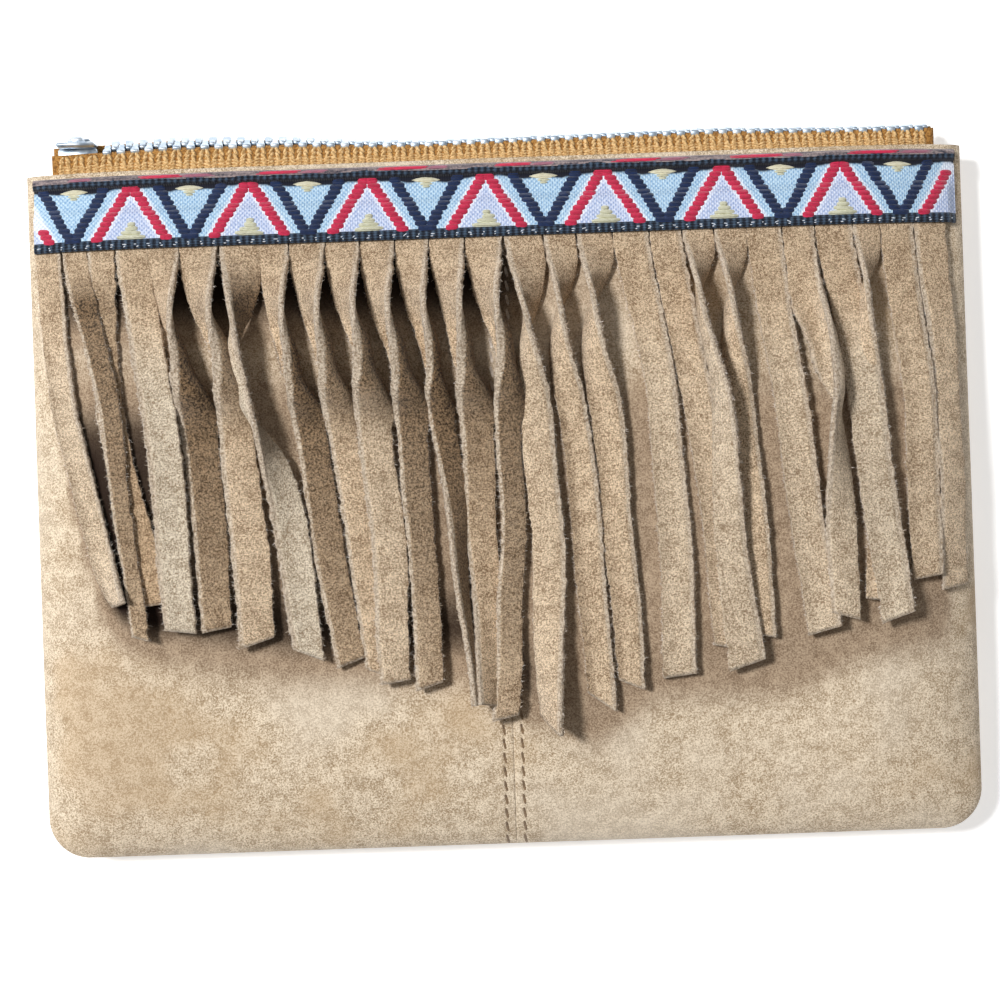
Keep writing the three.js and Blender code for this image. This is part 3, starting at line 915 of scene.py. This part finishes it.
def chevron_floats():
    """Red peaks, navy valleys and stepped cream marks, repeat by repeat."""
    red, navy, cream, lens = [], [], [], []
    picks = 11
    rise = (CHEVRON_HIGH - CHEVRON_LOW) / (picks - 1)
    for repeat in range(-4, 5):
        peak = RIBBON_PHASE + repeat * RIBBON_REPEAT
        valley = peak + RIBBON_REPEAT / 2
        for pick in range(picks):
            along = CHEVRON_LOW + pick * rise
            climb = pick / (picks - 1)
            for side in (-1, 1):
                stray = chance.normal(0, 0.09, 3)
                red_x = peak + side * (RED_SPREAD[0] + climb * (RED_SPREAD[1] - RED_SPREAD[0]))
                navy_x = valley + side * (NAVY_SPREAD[0] + climb * (NAVY_SPREAD[1] - NAVY_SPREAD[0]))
                bulk = (LEG_LENGTH + stray[2], LEG_WIDTH, LEG_HEIGHT)
                red.append(Float(red_x + stray[0], along, *bulk, -side * 0.05 + stray[1] * 0.4))
                navy.append(Float(navy_x + stray[1], along, *bulk, side * 0.05 + stray[0] * 0.4))
        for pick, length in enumerate(MARK_LENGTHS):
            bend = chance.normal(0, 0.05)
            bulge = 0.75 if pick == 0 else 0.55
            spot = peak + 0.15 + chance.normal(0, 0.14)
            cream.append(Float(spot, CHEVRON_LOW + 0.2 + pick * MARK_STEP, length, 1.12, bulge, bend))
        spot = valley + chance.normal(0, 0.15)
        lens.append(Float(spot, CHEVRON_HIGH - 0.15, 6.2, 1.3, 0.6, chance.normal(0, 0.03)))
        for down, length in ((1.05, 2.6), (1.6, 1.6)):
            cream.append(Float(spot, CHEVRON_HIGH - down, length, 0.6, 0.4, 0.0))
    return red, navy, cream, lens


def edge_floats():
    """White border floats, stitches with painted glints, and the red and mauve threads that show on the
    turned edge.
    """
    red, white, mauve = [], [], []
    for repeat in range(-4, 5):
        start = RIBBON_PHASE + repeat * RIBBON_REPEAT + 2.3
        red_length = chance.uniform(5.0, 12.0)
        mauve_length = chance.uniform(4.0, 8.0)
        for line in (-0.12, 0.22):
            shift = chance.uniform(-0.8, 0.8)
            middle = start + shift + red_length / 2
            red.append(Float(middle, 146.35 + line, red_length, 0.5, 0.24, 0.01))
            after = start + shift + red_length + mauve_length / 2
            mauve.append(Float(after, 146.3 + line, mauve_length, 0.45, 0.2, 0.01))
    # White floats along the lower border: pale stitches, with painted glints of the border's threads.
    for index in range(-37, 38):
        for line, share in ((131.8, 0.75), (131.35, 0.5)):
            spot = index * 2.78 + chance.normal(0, 0.2)
            length = share * chance.uniform(0.5, 1.3)
            white.append(Float(spot, line, length, 0.28, 0.24, 0.1 + chance.normal(0, 0.25)))
    return red, white, mauve


def ribbon_floats(finishes):
    """All the brocade floats in one mesh: red, navy, cream, white, mauve and the pale lens marks."""
    red, navy, cream, lens = chevron_floats()
    more_red, white, mauve = edge_floats()
    threads = [
        (red + more_red, 0.45),
        (navy, 0.45),
        (cream, 0.45),
        (white, 0.45),
        (mauve, 0.7),
        (lens, 0.95),
    ]
    parts = []
    slots = []
    for slot, (rows, taper) in enumerate(threads):
        rows = [row for row in rows if abs(row.x) + row.length / 2 < RIBBON_HALF_WIDTH - 0.5]
        parts.append(dome_floats(rows, ribbon_top, taper))
        slots += [slot] * len(parts[-1][1])
    return make_piece("ribbon_floats", *joined(parts), finishes, slots)


# Zip

Bow = namedtuple("Bow", "x shift")
CHAIN_BOWS = [
    Bow(-97, 0.6), Bow(-70, 1.5), Bow(-44, 1.0), Bow(-27, 0.1), Bow(-16, -0.3),
    Bow(12, 0.0), Bow(50, 0.3), Bow(75, -0.4), Bow(97, -0.5),
]


def chain_shift(x):
    """How far the chain bows out past a straight line."""
    return np.interp(x, *zip(*CHAIN_BOWS))


def chain_turn(x):
    """The chain lies turned up towards the front at the left end."""
    return math.radians(14) + math.radians(22) * smooth_step((-x - 5) / 75)


def chain_place(x, out, up):
    """Place a point given from the chain's middle line: out past the mouth, up towards the front."""
    turn = chain_turn(x)
    along = CHAIN_ALONG + chain_shift(x) + out * np.cos(turn) - up * np.sin(turn)
    height = CHAIN_HEIGHT + out * np.sin(turn) + up * np.cos(turn)
    return along, height


TAPE_TUCK = 142.0
TAPE_HALF_THICK = 0.3
TAPE_RUN = 9.6


def tape_line(x, share, side):
    """Middle of the tape: tucked inside the panel at share 0, in the mouth at 0.5, by the chain at 1."""
    panel = front_height if side > 0 else back_height
    clear = SUEDE + GAP * 2 + TAPE_HALF_THICK
    past_mouth = np.clip((share - 0.5) / 0.5, 0, 1)
    inside_along = TAPE_TUCK + (MOUTH - TAPE_TUCK) * np.clip(share / 0.5, 0, 1)
    inside = panel(x, np.minimum(inside_along, MOUTH)) - side * clear
    chain_along, chain_up = chain_place(x, 0.05, side * 1.7)
    out = smooth_step(past_mouth) * 0.35 + past_mouth * 0.65
    along = inside_along + (chain_along - MOUTH) * past_mouth
    return along, inside + (chain_up - inside) * out


def zip_tape(name, side, finish):
    x = np.linspace(-ZIP_HALF_LENGTH, ZIP_HALF_LENGTH, 190)[None, :]
    share = np.linspace(0, 1, 15)[:, None]
    along, height = tape_line(x, share, side)
    x = np.broadcast_to(x, along.shape)
    points = np.concatenate([points_at(x, along, height + up * TAPE_HALF_THICK) for up in (1, -1)])
    return make_piece(name, points, sheet_faces(*x.shape), [finish])


def tape_loops(name, side, finish):
    """Knitted loops over the tape's outer half: two rows of slanted legs by the chain, then flat rows."""
    rows = []
    first = int((CHAIN_START + ZIP_HALF_LENGTH) / TOOTH_PITCH) + 1
    for index in range(-first, CHAIN_TEETH + 3):
        left = CHAIN_START + index * TOOTH_PITCH
        for share in (0.76, 0.87):
            for leg in range(2):
                slant = (1.0 if leg == 0 else -1.0) + chance.normal(0, 0.1)
                rows.append(Float(left + 0.85 + leg * 1.35, share * TAPE_RUN, 1.75, 0.85, 0.6, slant))
        for share in (0.53, 0.6, 0.67):
            for leg in range(2):
                slant = 0.35 if leg == 0 else -0.35
                rows.append(Float(left + 0.75 + leg * 1.54, share * TAPE_RUN, 1.65, 0.62, 0.5, slant))
    rows = [row for row in rows if abs(row.x) < ZIP_HALF_LENGTH - 1.2]
    flat, faces = dome_floats(rows, lambda x, along: np.zeros_like(x))
    x, run, lift = flat.T * 1000
    along, height = tape_line(x, np.clip((run + MID_LENGTH) / TAPE_RUN, 0, 1), side)
    points = points_at(x, along + lift * 0.35, height + side * (TAPE_HALF_THICK + lift))
    return make_piece(name, points, faces, [finish])


Level = namedtuple("Level", "up wide deep")
TOOTH_LEVELS = [
    Level(-0.85, 0.30, 0.40), Level(-0.70, 0.60, 0.62), Level(-0.20, 0.70, 0.70),
    Level(0.35, 0.70, 0.70), Level(0.75, 0.62, 0.66), Level(1.15, 0.84, 0.70),
    Level(2.15, 0.98, 0.72), Level(2.42, 0.92, 0.64), Level(2.55, 0.68, 0.45),
]
TOOTH_SQUARENESS = 0.42


def tooth_shape():
    """One metal tooth: a rounded block with a waist behind its head. Points: along the zip, out, up."""
    around = 12
    turn = np.arange(around) / around * 2 * math.pi
    ring_x = np.sign(np.cos(turn)) * np.abs(np.cos(turn)) ** TOOTH_SQUARENESS
    ring_out = np.sign(np.sin(turn)) * np.abs(np.sin(turn)) ** TOOTH_SQUARENESS
    rings = [
        np.stack([ring_x * level.wide, ring_out * level.deep, np.full(around, level.up)], -1)
        for level in TOOTH_LEVELS
    ]
    return np.concatenate(rings), tube_faces(len(TOOTH_LEVELS), around)


def zip_teeth(name, side, finish):
    shape, faces = tooth_shape()
    parts = []
    for index in range(CHAIN_TEETH):
        x = CHAIN_START + (index + 0.5) * TOOTH_PITCH + (0 if side > 0 else TOOTH_PITCH / 2)
        along, height = chain_place(x, shape[:, 1], shape[:, 2] * side)
        parts.append((points_at(x + shape[:, 0] * side, along, height), faces))
    return make_piece(name, *joined(parts), [finish])


def rounded_block(centre, size, bevel):
    """Points and faces of a box with all its edges eased."""
    half = np.array(size) / 2
    shell = bmesh.new()
    for axis in range(3):
        first, second = (other for other in range(3) if other != axis)
        for signs in np.ndindex(2, 2, 2):
            corner = np.array(centre)
            corner[axis] += (2 * signs[0] - 1) * half[axis]
            corner[first] += (2 * signs[1] - 1) * (half[first] - bevel)
            corner[second] += (2 * signs[2] - 1) * (half[second] - bevel)
            shell.verts.new(corner)
    bmesh.ops.convex_hull(shell, input=shell.verts)
    shell.verts.index_update()
    points = np.array([vert.co[:] for vert in shell.verts])
    faces = [[vert.index for vert in face.verts] for face in shell.faces]
    shell.free()
    return points, faces


SLIDER_X = -91.5
Block = namedtuple("Block", "centre size bevel")
SLIDER_BLOCKS = [
    Block((SLIDER_X, 152.45, 9.3), (8.6, 3.5, 1.8), 0.3),
    Block((SLIDER_X, 154.75, 9.5), (8.6, 1.1, 8.2), 0.45),
    Block((SLIDER_X, 156.05, 9.7), (3.0, 1.5, 3.0), 0.5),
    Block((SLIDER_X, 156.3, 4.6), (5.0, 1.0, 7.4), 0.4),
]


def zip_slider(finish):
    points, faces = joined(rounded_block(*block) for block in SLIDER_BLOCKS)
    return make_piece("slider", points_at(*points.T), faces, [finish])


# Assembly

suede = body_suede()
fringe_finish = fringe_suede()
fluff_finish = edge_fluff()
ground = ribbon_ground()
navy_weave = ribbon_navy()
selvedge = ribbon_selvedge()
thread_finishes = [
    thread("thread_red", (128, 6, 34), (230, 46, 92)),
    thread("thread_navy", (2, 8, 22), (15, 46, 96)),
    thread("thread_cream", (160, 156, 118), (226, 227, 206)),
    # The white thread also carries the painted glints on the lower border.
    thread("thread_white_glint", (150, 165, 185), (236, 241, 247)),
    thread("thread_mauve", (96, 56, 76), (190, 112, 134)),
    thread("thread_pale", (180, 170, 130), (244, 240, 216)),
]
brown_stitch_thread = thread("thread_brown_stitch", (78, 60, 42), (150, 122, 90))
pale_stitch_thread = thread("thread_pale_stitch", (178, 158, 138), (246, 234, 220))
tape_finish = tape_knit("tape_base", (112, 74, 32), (176, 128, 66))
knit_finish = tape_knit("tape_loops", (162, 125, 74), (224, 190, 138))
metal = zip_metal()

front_left = front_panel("front_left", -1, suede)
front_right = front_panel("front_right", 1, suede)
back = back_panel(suede)
stitches = seam_stitches(brown_stitch_thread, pale_stitch_thread)
strips, fluff = fringe(fringe_finish, fluff_finish)
band = ribbon_band(ground, navy_weave, selvedge)
floats = ribbon_floats(thread_finishes)
tape_front = zip_tape("tape_front", 1, tape_finish)
tape_back = zip_tape("tape_back", -1, tape_finish)
loops_front = tape_loops("loops_front", 1, knit_finish)
loops_back = tape_loops("loops_back", -1, knit_finish)
teeth_front = zip_teeth("teeth_front", 1, metal)
teeth_back = zip_teeth("teeth_back", -1, metal)
slider = zip_slider(metal)

STANDS_FOR = [
    (front_left, "front_panel_left", "suede"),
    (front_right, "front_panel_right", "suede"),
    (back, "back_panel", "suede"),
    (strips, "fringe", "fringe_suede"),
    (band, "ribbon_trim", "ribbon_weave"),
    (tape_front, "zip_tape_front", "zip_tape"),
    (tape_back, "zip_tape_back", "zip_tape"),
    (teeth_front, "zip_teeth_front", "zip_metal"),
    (teeth_back, "zip_teeth_back", "zip_metal"),
    (slider, "zip_slider", "zip_metal"),
]
for piece, node, slot in STANDS_FOR:
    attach(piece, "root")
    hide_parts(node)
ADDED = [
    (stitches, "suede"),
    (fluff, "fringe_suede"),
    (floats, "ribbon_weave"),
    (loops_front, "zip_tape"),
    (loops_back, "zip_tape"),
]
for piece, slot in ADDED:
    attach(piece, "root")

# Stage: table, light and camera

TABLE_REACH = 3.0
table_corners = np.array([(-1, -1, 0), (1, -1, 0), (1, 1, 0), (-1, 1, 0)]) * TABLE_REACH
table = make_piece("table", table_corners, [(0, 1, 2, 3)], [glowing_table_top()])

light = bpy.data.lights.new("key", "AREA")
light.shape = "DISK"
light.size = 0.42
light.energy = 55.0
lamp = show("key", light)
lamp.location = (-1.12, 0.46, 1.85)
lamp.rotation_euler = (-lamp.location).to_track_quat("-Z", "Y").to_euler()


def studio_sky():
    """Bright overhead, dimmer and cooler towards the horizon."""
    sky = Finish(bpy.data.worlds.new("studio"))
    heading = sky.node("ShaderNodeTexCoord", {}, {}, "Generated")
    overhead = sky.axis(heading, "Z").ease(0.05, 0.8)
    colour = sky.mix(overhead, (0.16, 0.18, 0.21, 1), (0.62, 0.61, 0.60, 1))
    shader = sky.node("ShaderNodeBackground", {}, {"Color": colour, "Strength": 0.6})
    return sky.end_with("ShaderNodeOutputWorld", shader)


bpy.context.scene.world = studio_sky()
bpy.context.scene.view_settings.view_transform = "Standard"

PIXELS_PER_MM = 4.64
CAMERA_RISE = 520.0
VIEW_HEIGHT = 22.0
VIEW_X = -1.1
VIEW_ALONG = 73.6
VIEW_TURN = -2.0
lens = bpy.data.cameras.new("view")
lens.lens = PIXELS_PER_MM * lens.sensor_width * CAMERA_RISE / 1000
camera = show("view", lens)
camera.location = points_at(VIEW_X, VIEW_ALONG, CAMERA_RISE + VIEW_HEIGHT)[0]
camera.rotation_euler = (0, 0, math.radians(VIEW_TURN))
bpy.context.scene.camera = camera

bpy.context.view_layer.update()
